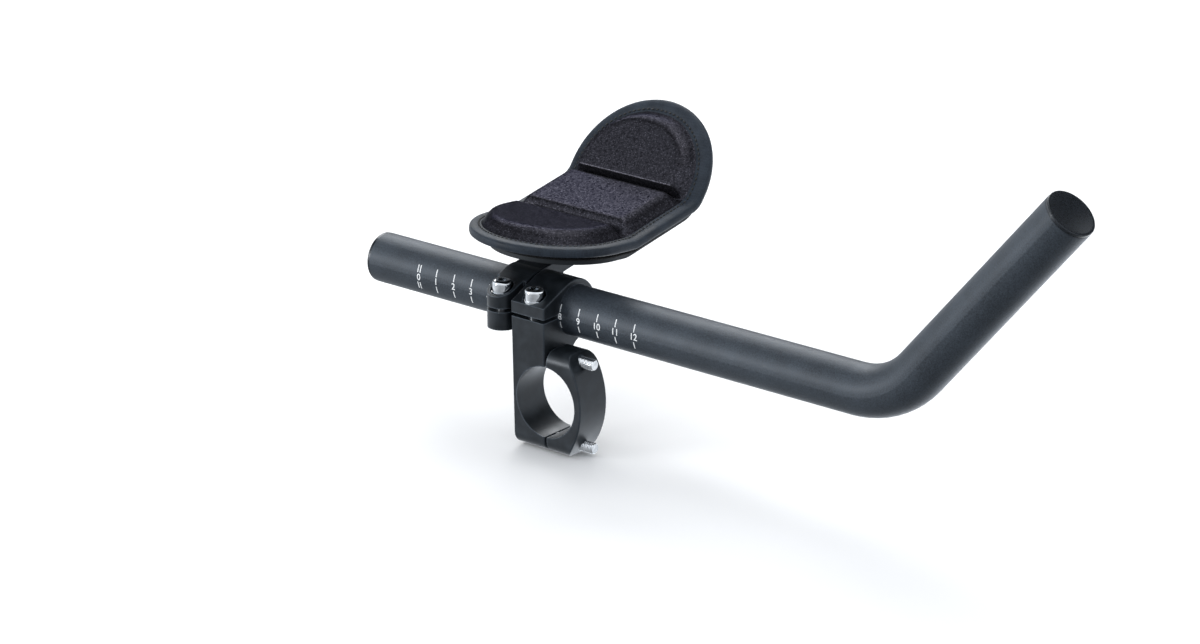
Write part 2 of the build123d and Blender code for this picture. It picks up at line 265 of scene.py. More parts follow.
# %% [markdown]
# The pad is covered in a brushed knit: dark violet-grey yarn with lighter specks where single loops catch
# the light. Its filaments mirror the same at every angle, where a smooth film mirrors most at a glancing
# one. A mostly metallic surface with a grey edge tint does that: ridges that face the light turn pale, and
# a flat top seen at a glance stays dark. The loops are 0.5 mm apart on the real cloth, drawn 0.6 mm apart
# here.

# %% Brushed knit
knit, tree, surface, place = new_finish(
    "brushed_polyester_knit",
    {
        "Metallic": 0.75,
        "Roughness": 0.33,
        "Diffuse Roughness": 1.0,
        "Specular IOR Level": 0.0,
        "Specular Tint": linear("#a4a5a6"),
    },
)
loops = add(tree, "ShaderNodeTexVoronoi", {"Vector": place, "Scale": per_mm(0.6), "Randomness": 1.0})
fuzz = add(
    tree, "ShaderNodeTexNoise", {"Vector": place, "Scale": per_mm(1.1), "Detail": 4.0, "Roughness": 0.75}
)
dots = add(
    tree,
    "ShaderNodeMapRange",
    {"Value": loops, "From Min": 0.05, "From Max": 0.6, "To Min": 1.0, "To Max": 0.0},
)
chance = add(tree, "ShaderNodeSeparateColor", {"Color": loops.outputs["Color"]}).outputs["Red"]
catch = add(tree, "ShaderNodeMath", {0: chance, 1: 2.0}, operation="POWER")
specks = add(tree, "ShaderNodeMath", {0: dots, 1: catch}, operation="MULTIPLY")
lit = add(tree, "ShaderNodeMath", {0: specks, 1: 0.5}, operation="MULTIPLY")
speckle = add(tree, "ShaderNodeMath", {0: fuzz, 1: 0.55, 2: lit}, operation="MULTIPLY_ADD")
paint(tree, surface, speckle, "#111114", "#6a6973", 0.16, 0.86)
add(
    tree,
    "ShaderNodeBump",
    {"Height": speckle, "Strength": 0.3, "Distance": 0.2 * MM},
    to=surface.inputs["Normal"],
)
print("finish:", knit.name)

# %% [markdown]
# The tape that binds the pad's edge is a smooth woven satin, dark blue-grey, with a faint weave in an even
# sheen. The sewing thread is polyester, a row of dull black dots. The hook tape under the pad is a black
# web of tiny hooks that swallows the light.

# %% Binding tape, thread and hook tape
binding_weave, tree, surface, place = new_finish(
    "woven_satin_tape",
    {"Specular IOR Level": 0.2, "Diffuse Roughness": 1.0, "Specular Tint": ANODISED_TINT},
)
ribs = add(tree, "ShaderNodeTexVoronoi", {"Vector": place, "Scale": per_mm(0.9), "Randomness": 0.35})
uneven = add(tree, "ShaderNodeTexNoise", {"Vector": place, "Scale": per_mm(9.0), "Detail": 3.0})
tone = add(tree, "ShaderNodeMath", {0: ribs, 1: 0.35, 2: uneven}, operation="MULTIPLY_ADD")
paint(tree, surface, tone, "#1d2229", "#39414b", 0.35, 1.0)
add(
    tree,
    "ShaderNodeMapRange",
    {"Value": uneven, **NOISE_SPAN, "To Min": 0.48, "To Max": 0.6},
    to=surface.inputs["Roughness"],
)
add(
    tree,
    "ShaderNodeBump",
    {"Height": ribs, "Strength": 0.25, "Distance": 0.12 * MM},
    to=surface.inputs["Normal"],
)

thread, tree, surface, place = new_finish("black_polyester_thread", {"Roughness": 0.6})
twist = add(tree, "ShaderNodeTexNoise", {"Vector": place, "Scale": per_mm(0.4), "Detail": 2.0})
paint(tree, surface, twist, "#08090a", "#16181a")

hooks, tree, surface, place = new_finish("woven_hook_tape", {"Roughness": 0.85, "Specular IOR Level": 0.2})
pile = add(tree, "ShaderNodeTexVoronoi", {"Vector": place, "Scale": per_mm(0.7)})
paint(tree, surface, pile, "#101112", "#040405", 0.1, 0.6)
add(
    tree,
    "ShaderNodeBump",
    {"Height": pile, "Strength": 0.9, "Distance": 0.5 * MM},
    to=surface.inputs["Normal"],
)
print("finishes:", binding_weave.name, thread.name, hooks.name)

# %% [markdown]
# The scale on the tube is screen-printed with white ink. A thin print has faint pinholes where the grit of
# the tube shows through.

# %% White screen-printing ink
ink, tree, surface, place = new_finish("white_printing_ink", {"Roughness": 0.6})
pinholes = add(tree, "ShaderNodeTexNoise", {"Vector": place, "Scale": per_mm(0.5), "Detail": 2.0})
paint(tree, surface, pinholes, "#aab0b4", "#eef0f1", 0.3, 0.5)
print("finish:", ink.name)

# %% [markdown]
# Each CAD node keeps its shape and takes its finish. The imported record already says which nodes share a
# finish, as its material slots, so one short table is enough.

# %% Dress the CAD nodes
finish_of_slot = {
    "tube_anodised": blasted,
    "clamp_anodised": satin,
    "bolt_steel": steel,
    "plug_plastic": plug_face,
    "shell_plastic": moulded,
    "hook_tape": hooks,
    "pad_knit": knit,
    "binding_tape": binding_weave,
}
for row in frame["record"]["subparts"]:
    materials = nodes[row["node"]].data.materials
    materials.clear()
    materials.append(finish_of_slot[row["material_slot"]])

# %% [markdown]
# The armrest is a leaf that is bent twice: a flat base, a steep outer wing and a shallow inner wing. It is
# easiest to draw the pad flat, as a tailor cuts it, and to fold the flat drawing afterwards. The first
# coordinate runs across the forearm from the outer wing to the inner one, the second along it. At the rear
# edge the cushions reach further out, so everything sewn there keeps only a share of its distance to the
# edge.

# %% Fold a flat drawing onto the armrest
REST_MIDDLE = (-51.55, -19.3, 66.3)
REST_TILT = math.radians(9.0)
BASE_OUTER, BASE_INNER = 19.1, 17.6
BEND = 10.0
OUTER_ANGLE, INNER_ANGLE = math.radians(43.0), math.radians(14.8)
OUTER_STRAIGHT, INNER_STRAIGHT = 2.4, 11.0
HALF_WIDTH = 36.6
OUTER_D = -(BASE_OUTER + BEND * OUTER_ANGLE + OUTER_STRAIGHT)
INNER_D = BASE_INNER + BEND * INNER_ANGLE + INNER_STRAIGHT
EDGE_STEPS, ARC_STEPS = 480, 400
REAR_LOSS = 0.32


def fold(across, along, height):
    """Flat drawing in mm (across, along, height above the edge plane) to points of the part in metres."""
    across, along, height = np.broadcast_arrays(*(np.asarray(a, float) for a in (across, along, height)))
    u, w = across.copy(), height.copy()
    for side, start, limit in ((-1, BASE_OUTER, OUTER_ANGLE), (1, BASE_INNER, INNER_ANGLE)):
        over = np.maximum(side * across - start, 0)
        angle = np.minimum(over / BEND, limit)
        rest = over - angle * BEND
        bent = over > 0
        out = start + (BEND - height) * np.sin(angle) + rest * np.cos(angle)
        up = BEND - (BEND - height) * np.cos(angle) + rest * np.sin(angle)
        u = np.where(bent, side * out, u)
        w = np.where(bent, up, w)
    x = REST_MIDDLE[0] + u * math.cos(REST_TILT) + w * math.sin(REST_TILT)
    z = REST_MIDDLE[2] - u * math.sin(REST_TILT) + w * math.cos(REST_TILT)
    return np.stack([x, REST_MIDDLE[1] + along, z], -1) * MM


def half_width_at(across, inset):
    """Half the flat outline's width; its two ends are half circles."""
    past = np.maximum(OUTER_D - across, across - INNER_D)
    return np.sqrt(np.maximum((HALF_WIDTH - inset) ** 2 - np.maximum(past, 0) ** 2, 0))


def outline(count):
    """Evenly spaced points of the closed flat outline, with the directions that point into the pad."""
    turn = np.linspace(0, math.pi, ARC_STEPS)
    inner = np.stack([INNER_D + HALF_WIDTH * np.sin(turn), -HALF_WIDTH * np.cos(turn)], -1)
    outer = np.stack([OUTER_D - HALF_WIDTH * np.sin(turn), HALF_WIDTH * np.cos(turn)], -1)
    loop = np.vstack([inner, outer, inner[:1]])
    lengths = np.r_[0, np.cumsum(np.linalg.norm(np.diff(loop, axis=0), axis=1))]
    stops = np.linspace(0, lengths[-1], count, endpoint=False)
    points = np.stack([np.interp(stops, lengths, loop[:, k]) for k in (0, 1)], -1)
    ways = np.roll(points, -1, 0) - np.roll(points, 1, 0)
    ways /= np.linalg.norm(ways, axis=1, keepdims=True)
    return points, np.stack([-ways[:, 1], ways[:, 0]], -1), lengths[-1]


edge_points, edge_inward, edge_length = outline(EDGE_STEPS)
edge_share = 1 - REAR_LOSS * np.clip(edge_inward[:, 1], 0, 1)
print("edge of the pad:", round(edge_length), "mm long")

# %% [markdown]
# The pad's foam is moulded into three cushions that slope down to the sewn edge and meet in two creases.
# Its upper face is a height drawn over the flat outline: zero at the edge and in the creases, rising over a
# few millimetres to a plateau. Cloth with air pressure then swells it, as the cover does over foam.

# %% Heights of the cushions
SHEET = 1.5
CUSHION = 6.0
EDGE_TAPE = 6.9
SIDE_SLOPE, CREASE_SLOPE = 7.0, 5.0
CREASE_HALF = 0.9
CREASES = (-(BASE_OUTER + BEND * OUTER_ANGLE / 4), BASE_INNER + BEND * INNER_ANGLE / 2)
ROWS, COLUMNS, END_ROWS = 112, 64, 26
PAD_INSET = 1.3


def crown(share):
    """A pillow's profile: steep where it starts, then rounding over to flat."""
    return 1 - (1 - np.clip(share, 0, 1)) ** 2


def cushion_height(across, along):
    flat = np.stack([across, along], -1)
    to_edge = np.min(np.linalg.norm(flat[..., None, :] - edge_points, axis=-1) / edge_share, -1)
    height = crown((to_edge - EDGE_TAPE) / SIDE_SLOPE)
    for crease in CREASES:
        height = height * crown((np.abs(across - crease) - CREASE_HALF) / CREASE_SLOPE)
    return CUSHION * height


ends = np.sin(np.linspace(0, math.pi / 2, END_ROWS))
rows_outer = OUTER_D - (HALF_WIDTH - PAD_INSET) * ends[::-1]
rows_inner = INNER_D + (HALF_WIDTH - PAD_INSET) * ends
rows_middle = np.linspace(OUTER_D, INNER_D, ROWS - 2 * END_ROWS + 2)[1:-1]
across_rows = np.r_[rows_outer, rows_middle, rows_inner]
across_grid = np.repeat(across_rows[:, None], COLUMNS, 1)
along_grid = half_width_at(across_rows, PAD_INSET)[:, None] * np.linspace(-1, 1, COLUMNS)[None, :]
top_height = SHEET + cushion_height(across_grid, along_grid)
print("cushions stand", round(float(top_height.max()), 1), "mm over the middle of the sheet")

# %% [markdown]
# Two folded sheets of points, the cushions above and the plain underside, are joined along their rims into
# one closed mesh. The rows run out to single points at both ends of the leaf, so the points that meet there
# are merged before the faces are turned outwards.

# %% Draw the pad
MERGE, DEGENERATE = 0.02 * MM, 0.01 * MM


def in_scene(name, data):
    """A new object at the origin that shows a mesh, a light or the camera."""
    piece = bpy.data.objects.new(name, data)
    scene.collection.objects.link(piece)
    return piece


def closed_piece(name, points, faces, finish):
    """A smooth closed piece from points and faces, with its faces turned outwards."""
    mesh = bpy.data.meshes.new(name)
    mesh.from_pydata(points.reshape(-1, 3).tolist(), [], faces)
    work = bmesh.new()
    work.from_mesh(mesh)
    bmesh.ops.remove_doubles(work, verts=work.verts, dist=MERGE)
    bmesh.ops.dissolve_degenerate(work, edges=work.edges, dist=DEGENERATE)
    bmesh.ops.recalc_face_normals(work, faces=work.faces)
    work.to_mesh(mesh)
    work.free()
    mesh.shade_smooth()
    mesh.materials.append(finish)
    return in_scene(name, mesh)


def leaf_faces(rows, columns):
    """Faces that join two sheets of rows by columns points, the second one below the first."""
    number = np.arange(rows * columns).reshape(rows, columns).tolist()
    upper = [
        (number[i][j], number[i + 1][j], number[i + 1][j + 1], number[i][j + 1])
        for i in range(rows - 1)
        for j in range(columns - 1)
    ]
    below = rows * columns
    lower = [tuple(below + k for k in reversed(face)) for face in upper]
    rim = number[0] + [line[-1] for line in number[1:]] + number[-1][-2::-1]
    rim += [line[0] for line in number[-2:0:-1]]
    sides = [(a, b, b + below, a + below) for a, b in zip(rim, rim[1:] + rim[:1])]
    return upper + lower + sides


top_points = fold(across_grid, along_grid, top_height)
bottom_points = fold(across_grid, along_grid, -SHEET)
pad = closed_piece("soft_pad", np.stack([top_points, bottom_points]), leaf_faces(ROWS, COLUMNS), knit)
print("pad drawn with", len(pad.data.vertices), "points")

# %% [markdown]
# The swelling is a short cloth simulation. Points near the edge, in the creases and on the underside are
# pinned, so that only the cushions rise. A cap on the movement keeps the shape the mould gives.

# %% Swell the cushions
PRESSURE, TENSION, BENDING = 3.0, 15.0, 0.5
FRAMES = 14
FREEDOM = 0.8
FARTHEST = 1.2 * MM
ON_TOP = 0.3 * MM


def swell(piece):
    """Blows the cushions up with cloth and returns the largest movement in mm."""
    rest = np.array([v.co for v in piece.data.vertices])
    flat_top = top_points.reshape(-1, 3)
    lift = (top_height - SHEET).reshape(-1)
    nearest = [int(np.argmin(((flat_top - p) ** 2).sum(1))) for p in rest]
    away = np.array([np.linalg.norm(flat_top[k] - p) for k, p in zip(nearest, rest)])
    free = np.where(away < ON_TOP, lift[nearest] / CUSHION, 0)
    group = piece.vertex_groups.new(name="held")
    for k, share in enumerate(free):
        group.add([k], float(1 - FREEDOM * share), "REPLACE")
    cloth = piece.modifiers.new("swell", "CLOTH")
    cloth.settings.vertex_group_mass = "held"
    cloth.settings.use_pressure = True
    cloth.settings.uniform_pressure_force = PRESSURE
    cloth.settings.effector_weights.gravity = 0
    cloth.settings.tension_stiffness = TENSION
    cloth.settings.bending_stiffness = BENDING
    for step in range(1, FRAMES + 1):
        scene.frame_set(step)
    evaluated = piece.evaluated_get(bpy.context.evaluated_depsgraph_get())
    moved = np.array([v.co for v in evaluated.data.vertices]) - rest
    scene.frame_set(1)
    piece.modifiers.remove(cloth)
    piece.vertex_groups.clear()
    length = np.linalg.norm(moved, axis=1, keepdims=True)
    moved *= np.minimum(1, FARTHEST / np.maximum(length, 1e-9))
    piece.data.vertices.foreach_set("co", (rest + moved).ravel())
    piece.data.update()
    return float(np.linalg.norm(moved, axis=1).max() / MM)


print("cushions swell by up to", round(swell(pad), 2), "mm")
smoother = pad.modifiers.new("smoother", "SUBSURF")
smoother.levels = 1
smoother.render_levels = 1
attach(pad, "mounting")
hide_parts("arm_pad")

# %% [markdown]
# The edge tape is folded round the pad and sewn through. Its section is a flat U, swept along the outline
# in the flat drawing and then folded with it, so that it follows both bends without a twist. The upper half
# of the section is drawn from the inner border to the fold, with a dip where the stitches pull it in, and
# mirrored for the lower half.

# %% Sew on the edge tape
STITCH_INSET = 5.5
TAPE_UPPER = (
    (7.9, 1.2), (7.6, 1.7), (7.0, 1.95), (6.2, 2.0), (STITCH_INSET, 1.75), (4.8, 2.05),
    (3.8, 2.2), (2.4, 2.15), (1.0, 1.9), (0.4, 1.5), (0.1, 0.9),
)
TAPE_SECTION = TAPE_UPPER + ((0.0, 0.0),) + tuple((inset, -height) for inset, height in TAPE_UPPER[::-1])


def swept_edge(name, section, finish, share=1.0, shift=0.0):
    """A closed band along the pad's outline; its section is given as distance inwards and height."""
    inwards, heights = np.array(section).T
    steps = np.multiply.outer(share * np.ones(EDGE_STEPS), inwards)
    steps = steps + np.reshape(shift * np.ones(EDGE_STEPS), (-1, 1))
    flat = edge_points[:, None, :] + steps[..., None] * edge_inward[:, None, :]
    points = fold(flat[..., 0], flat[..., 1], heights)
    around = len(section)
    faces = [
        (
            i * around + j,
            i * around + (j + 1) % around,
            (i + 1) % EDGE_STEPS * around + (j + 1) % around,
            (i + 1) % EDGE_STEPS * around + j,
        )
        for i in range(EDGE_STEPS)
        for j in range(around)
    ]
    return closed_piece(name, points, faces, finish)


edge_tape = swept_edge("edge_tape", TAPE_SECTION, binding_weave, share=edge_share)
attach(edge_tape, "mounting")
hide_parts("pad_binding")
print("edge tape:", len(edge_tape.data.polygons), "faces")

# %% [markdown]
# Under the edge tape the pile of the hook tape swells out as a black, fuzzy band before the shell begins.
# It follows the same outline, so the same sweep makes it, with a section that lies further in and lower.
# The shell ends earlier on the inner wing and lies closer on the outer one, and the pile draws back there.

# %% Let the pile swell out
PILE_SECTION = ((3.1, -3.0), (3.8, -2.4), (8.4, -2.4), (8.4, -4.64), (4.4, -4.64), (3.3, -4.2), (2.8, -3.6))
INNER_TRIM, OUTER_TRIM = 4.0, 2.2
OUTER_FROM, OUTER_OVER = -2.0, 14.0
drawn_back = INNER_TRIM * np.clip(-edge_inward[:, 0], 0, 1)
drawn_back += OUTER_TRIM * np.clip((OUTER_FROM - edge_points[:, 0]) / OUTER_OVER, 0, 1)
pile_edge = swept_edge("tape_pile_edge", PILE_SECTION, hooks, shift=drawn_back)
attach(pile_edge, "mounting")
print("pile edge:", len(pile_edge.data.polygons), "faces")

# %% [markdown]
# Stitches repeat along a path, which is what Geometry Nodes are good at. The tree resamples a guide line at
# the stitch pitch, puts one short thread on each point, turns it along the line and lays it on the surface,
# whose direction the guide carries as an attribute.

# %% Build the tree for stitches


def node_group(name, sockets):
    """An empty Geometry Nodes tree with a geometry input and output and named inputs for its sizes."""
    tree = bpy.data.node_groups.new(name, "GeometryNodeTree")
    tree.interface.new_socket("Geometry", in_out="INPUT", socket_type="NodeSocketGeometry")
    for label, kind in sockets.items():
        tree.interface.new_socket(label, in_out="INPUT", socket_type="NodeSocket" + kind)
    tree.interface.new_socket("Geometry", in_out="OUTPUT", socket_type="NodeSocketGeometry")
    return tree, add(tree, "NodeGroupInput").outputs


stitch_tree, given = node_group(
    "stitch_row", {"Pitch": "Float", "Length": "Float", "Thickness": "Float", "Thread": "Material"}
)
line = add(stitch_tree, "GeometryNodeMeshToCurve", {"Mesh": given["Geometry"]})
stops = add(
    stitch_tree, "GeometryNodeResampleCurve", {"Curve": line, "Length": given["Pitch"]}, mode="LENGTH"
)
ball = add(stitch_tree, "GeometryNodeMeshUVSphere", {"Segments": 8, "Rings": 6, "Radius": 0.5})
stretch = add(
    stitch_tree,
    "ShaderNodeCombineXYZ",
    {"X": given["Length"], "Y": given["Thickness"], "Z": given["Thickness"]},
)
one_stitch = add(stitch_tree, "GeometryNodeTransform", {"Geometry": ball, "Scale": stretch})
tangent = add(stitch_tree, "GeometryNodeInputTangent")
surface_up = add(
    stitch_tree, "GeometryNodeInputNamedAttribute", {"Name": "surface_up"}, data_type="FLOAT_VECTOR"
)
turned = add(stitch_tree, "FunctionNodeAlignRotationToVector", {"Vector": tangent}, axis="X")
laid = add(
    stitch_tree,
    "FunctionNodeAlignRotationToVector",
    {"Rotation": turned, "Vector": surface_up.outputs["Attribute"]},
    axis="Z",
    pivot_axis="X",
)
row = add(
    stitch_tree,
    "GeometryNodeInstanceOnPoints",
    {"Points": stops, "Instance": one_stitch, "Rotation": laid},
)
solid = add(stitch_tree, "GeometryNodeRealizeInstances", {"Geometry": row})
smooth = add(stitch_tree, "GeometryNodeSetShadeSmooth", {"Geometry": solid})
dyed = add(stitch_tree, "GeometryNodeSetMaterial", {"Geometry": smooth, "Material": given["Thread"]})
add(stitch_tree, "NodeGroupOutput", {0: dyed})
print("tree:", stitch_tree.name, "with", len(stitch_tree.nodes), "nodes")

# %% [markdown]
# The tree is run on a guide line for each face of the tape. Its result is kept as a plain mesh and the
# modifier is taken off again, so that the piece is what it looks like.

# %% Stitch the edge
STITCH = {"Pitch": 2.4 * MM, "Length": 1.6 * MM, "Thickness": 0.95 * MM, "Thread": thread}
STITCH_HEIGHT = 1.9


def grown(piece, tree, values):
    """Runs a tree on a piece with these inputs and keeps the result as its plain mesh."""
    modifier = piece.modifiers.new(tree.name, "NODES")
    modifier.node_group = tree
    for item in tree.interface.items_tree:
        if item.in_out == "INPUT" and item.name in values:
            modifier[item.identifier] = values[item.name]
    evaluated = piece.evaluated_get(bpy.context.evaluated_depsgraph_get())
    mesh = bpy.data.meshes.new_from_object(evaluated)
    piece.modifiers.remove(modifier)
    piece.data = mesh


def stitch_row(name, height):
    """Stitches along the pad's edge, at this height over its middle."""
    flat_line = edge_points + STITCH_INSET * edge_share[:, None] * edge_inward
    low = fold(flat_line[:, 0], flat_line[:, 1], height)
    high = fold(flat_line[:, 0], flat_line[:, 1], height + math.copysign(1, height))
    mesh = bpy.data.meshes.new(name)
    mesh.from_pydata(low.tolist(), [(i, (i + 1) % EDGE_STEPS) for i in range(EDGE_STEPS)], [])
    way = mesh.attributes.new("surface_up", "FLOAT_VECTOR", "POINT")
    way.data.foreach_set("vector", ((high - low) / MM).astype(np.float32).ravel())
    piece = in_scene(name, mesh)
    grown(piece, stitch_tree, STITCH)
    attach(piece, "mounting")
    return piece


for name, height in (("stitches_upper", STITCH_HEIGHT), ("stitches_lower", -STITCH_HEIGHT)):
    stitches = stitch_row(name, height)
    print(name, len(stitches.data.polygons), "faces")

# %% [markdown]
# The scale is flat print on a round tube. The ticks are one small rectangle that the tree repeats at each
# mark, above and below the figure and doubled at zero. The last steps of the tree wrap the flat print round
# the tube: the height on the paper becomes an angle.

# %% Build the tree for the scale
print_tree, given = node_group(
    "print_on_tube",
    {
        "Marks": "Int",
        "Pitch": "Float",
        "Start": "Vector",
        "Zero gap": "Float",
        "Tick width": "Float",
        "Tick length": "Float",
        "Tick distance": "Float",
        "Radius": "Float",
        "Axis": "Vector",
        "Ink": "Material",
    },
)
spacing = add(print_tree, "ShaderNodeCombineXYZ", {"X": given["Pitch"]})
first_mark = add(print_tree, "ShaderNodeVectorMath", {0: given["Start"], 1: spacing}, operation="ADD")
marks_line = add(
    print_tree,
    "GeometryNodeMeshLine",
    {"Count": given["Marks"], "Start Location": first_mark, "Offset": spacing},
)
zero_gap = add(print_tree, "ShaderNodeCombineXYZ", {"X": given["Zero gap"]})
zero_start = add(
    print_tree,
    "ShaderNodeVectorMath",
    {0: zero_gap, 1: (-0.5, 0.0, 0.0), 2: given["Start"]},
    operation="MULTIPLY_ADD",
)
zero_line = add(
    print_tree, "GeometryNodeMeshLine", {"Count": 2, "Start Location": zero_start, "Offset": zero_gap}
)
mark_places = add(print_tree, "GeometryNodeJoinGeometry", {0: [marks_line, zero_line]})
tick = add(
    print_tree,
    "GeometryNodeMeshGrid",
    {"Size X": given["Tick width"], "Size Y": given["Tick length"], "Vertices X": 2, "Vertices Y": 9},
)
below = add(print_tree, "ShaderNodeMath", {0: given["Tick distance"], 1: -1.0}, operation="MULTIPLY")
ticks = []
for distance in (given["Tick distance"], below):
    shift = add(print_tree, "ShaderNodeCombineXYZ", {"Y": distance})
    ticks.append(add(print_tree, "GeometryNodeTransform", {"Geometry": tick, "Translation": shift}))
pair = add(print_tree, "GeometryNodeJoinGeometry", {0: ticks})
repeated = add(print_tree, "GeometryNodeInstanceOnPoints", {"Points": mark_places, "Instance": pair})
flat_ticks = add(print_tree, "GeometryNodeRealizeInstances", {"Geometry": repeated})
sheet = add(print_tree, "GeometryNodeJoinGeometry", {0: [given["Geometry"], flat_ticks]})

paper = add(print_tree, "ShaderNodeSeparateXYZ", {"Vector": add(print_tree, "GeometryNodeInputPosition")})
angle = add(
    print_tree, "ShaderNodeMath", {0: paper.outputs["Y"], 1: given["Radius"]}, operation="DIVIDE"
)
cosine = add(print_tree, "ShaderNodeMath", {0: angle}, operation="COSINE")
sine = add(print_tree, "ShaderNodeMath", {0: angle}, operation="SINE")
side = add(print_tree, "ShaderNodeMath", {0: cosine, 1: given["Radius"]}, operation="MULTIPLY")
rise = add(print_tree, "ShaderNodeMath", {0: sine, 1: given["Radius"]}, operation="MULTIPLY")
rolled = add(print_tree, "ShaderNodeCombineXYZ", {"X": side, "Y": paper.outputs["X"], "Z": rise})
on_axis = add(print_tree, "ShaderNodeVectorMath", {0: rolled, 1: given["Axis"]}, operation="ADD")
wrapped = add(print_tree, "GeometryNodeSetPosition", {"Geometry": sheet, "Position": on_axis})
inked = add(print_tree, "GeometryNodeSetMaterial", {"Geometry": wrapped, "Material": given["Ink"]})
add(print_tree, "NodeGroupOutput", {0: inked})
print("tree:", print_tree.name, "with", len(print_tree.nodes), "nodes")

# %% [markdown]
# The figures are text turned into a flat mesh and cut into thin strips, because a wide flat face can't
# follow a curve. The tree adds the ticks to them and wraps both round the tube. The print slides with the
# tube, so it rides on the same body.

# %% Print the scale
TUBE_X, TUBE_Z, TUBE_RADIUS = -12.05, 36.0, 11.1
FIRST_MARK, MARK_PITCH, MARKS = -80.0, 10.0, 13
FIGURE_HEIGHT, FIGURE_STRIP, FIGURE_BOLD = 2.9, 0.3, 0.06
CAPITAL_SHARE = 0.7
ZERO_GAP = 1.3
TICK_WIDTH, TICK_LENGTH, TICK_DISTANCE = 0.52, 3.4, 3.9
INK_LIFT = 0.02


def flat_figures():
    """The figures 0 to 12 as one flat mesh, each centred on its mark."""
    work = bmesh.new()
    for mark in range(MARKS):
        words = bpy.data.curves.new("figure", "FONT")
        words.body = str(mark)
        words.size = FIGURE_HEIGHT * MM / CAPITAL_SHARE
        words.align_x = "CENTER"
        words.align_y = "CENTER"
        words.offset = FIGURE_BOLD * MM
        holder = in_scene("figure", words)
        evaluated = holder.evaluated_get(bpy.context.evaluated_depsgraph_get())
        mesh = bpy.data.meshes.new_from_object(evaluated)
        mesh.transform(Matrix.Translation(((FIRST_MARK + MARK_PITCH * mark) * MM, 0, 0)))
        work.from_mesh(mesh)
        bpy.data.objects.remove(holder)
        bpy.data.meshes.remove(mesh)
        bpy.data.curves.remove(words)
    for level in np.arange(-FIGURE_HEIGHT, FIGURE_HEIGHT, FIGURE_STRIP):
        everything = work.verts[:] + work.edges[:] + work.faces[:]
        bmesh.ops.bisect_plane(work, geom=everything, plane_co=(0, level * MM, 0), plane_no=(0, 1, 0))
    mesh = bpy.data.meshes.new("scale_print")
    work.to_mesh(mesh)
    work.free()
    return mesh


scale_print = in_scene("scale_print", flat_figures())
grown(
    scale_print,
    print_tree,
    {
        "Marks": MARKS - 1,
        "Pitch": MARK_PITCH * MM,
        "Start": (FIRST_MARK * MM, 0.0, 0.0),
        "Zero gap": ZERO_GAP * MM,
        "Tick width": TICK_WIDTH * MM,
        "Tick length": TICK_LENGTH * MM,
        "Tick distance": TICK_DISTANCE * MM,
        "Radius": (TUBE_RADIUS + INK_LIFT) * MM,
        "Axis": (TUBE_X * MM, 0.0, TUBE_Z * MM),
        "Ink": ink,
    },
)
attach(scale_print, "extension")
print("scale:", MARKS, "marks,", len(scale_print.data.polygons), "faces")

# %% [markdown]
# The bolts of the bar clamp stand out of the cap, so their threads show. A thread is a groove that climbs
# one pitch for each turn. The tree takes a fine cylinder and pulls each point inwards by a wave of its
# height and its angle together, which makes the groove a helix. Near the tip all points are pulled in, as
# a chamfer.

# %% Build the tree for threads
thread_tree, given = node_group(
    "threaded_rod",
    {
        "Radius": "Float",
        "Length": "Float",
        "Pitch": "Float",
        "Depth": "Float",
        "Tip": "Float",
        "Metal": "Material",
    },
)
rod = add(
    thread_tree,
    "GeometryNodeMeshCylinder",
    {"Vertices": 40, "Side Segments": 160, "Radius": given["Radius"], "Depth": given["Length"]},
)
spot = add(thread_tree, "ShaderNodeSeparateXYZ", {"Vector": add(thread_tree, "GeometryNodeInputPosition")})
spot_x, spot_y, spot_z = spot.outputs
angle = add(thread_tree, "ShaderNodeMath", {0: spot_y, 1: spot_x}, operation="ARCTAN2")
turns = add(thread_tree, "ShaderNodeMath", {0: angle, 1: 1 / math.tau}, operation="MULTIPLY")
climb = add(thread_tree, "ShaderNodeMath", {0: spot_z, 1: given["Pitch"]}, operation="DIVIDE")
phase = add(thread_tree, "ShaderNodeMath", {0: climb, 1: turns}, operation="SUBTRACT")
wave = add(thread_tree, "ShaderNodeMath", {0: phase, 1: 0.5}, operation="PINGPONG")
groove = add(
    thread_tree,
    "ShaderNodeMapRange",
    {"Value": wave, "From Min": 0.08, "From Max": 0.45, "To Min": 0.0, "To Max": 1.0},
)
down = add(thread_tree, "ShaderNodeMath", {0: spot_z, 1: -1.0}, operation="MULTIPLY")
to_tip = add(thread_tree, "ShaderNodeMath", {0: given["Length"], 1: 0.5, 2: down}, operation="MULTIPLY_ADD")
chamfer = add(
    thread_tree,
    "ShaderNodeMapRange",
    {"Value": to_tip, "From Min": 0.0, "From Max": given["Tip"], "To Min": 1.0, "To Max": 0.0},
)
deeper = add(thread_tree, "ShaderNodeMath", {0: groove, 1: chamfer}, operation="MAXIMUM")
depth = add(thread_tree, "ShaderNodeMath", {0: deeper, 1: given["Depth"]}, operation="MULTIPLY")
inwards = add(thread_tree, "ShaderNodeMath", {0: depth, 1: -1.0}, operation="MULTIPLY")
flat_way = add(thread_tree, "ShaderNodeCombineXYZ", {"X": spot_x, "Y": spot_y})
outwards = add(thread_tree, "ShaderNodeVectorMath", {0: flat_way}, operation="NORMALIZE")
pull = add(thread_tree, "ShaderNodeVectorMath", {0: outwards, "Scale": inwards}, operation="SCALE")
cut = add(thread_tree, "GeometryNodeSetPosition", {"Geometry": rod, "Offset": pull})
whole = add(thread_tree, "GeometryNodeRealizeInstances", {"Geometry": cut})
metal = add(thread_tree, "GeometryNodeSetMaterial", {"Geometry": whole, "Material": given["Metal"]})
add(thread_tree, "NodeGroupOutput", {0: metal})
print("tree:", thread_tree.name, "with", len(thread_tree.nodes), "nodes")

# %% [markdown]
# Each bolt keeps the head and the plain shank of its CAD node. A merged copy of that mesh is cut off where
# the thread begins and closed again, and the threaded rod goes on from there.

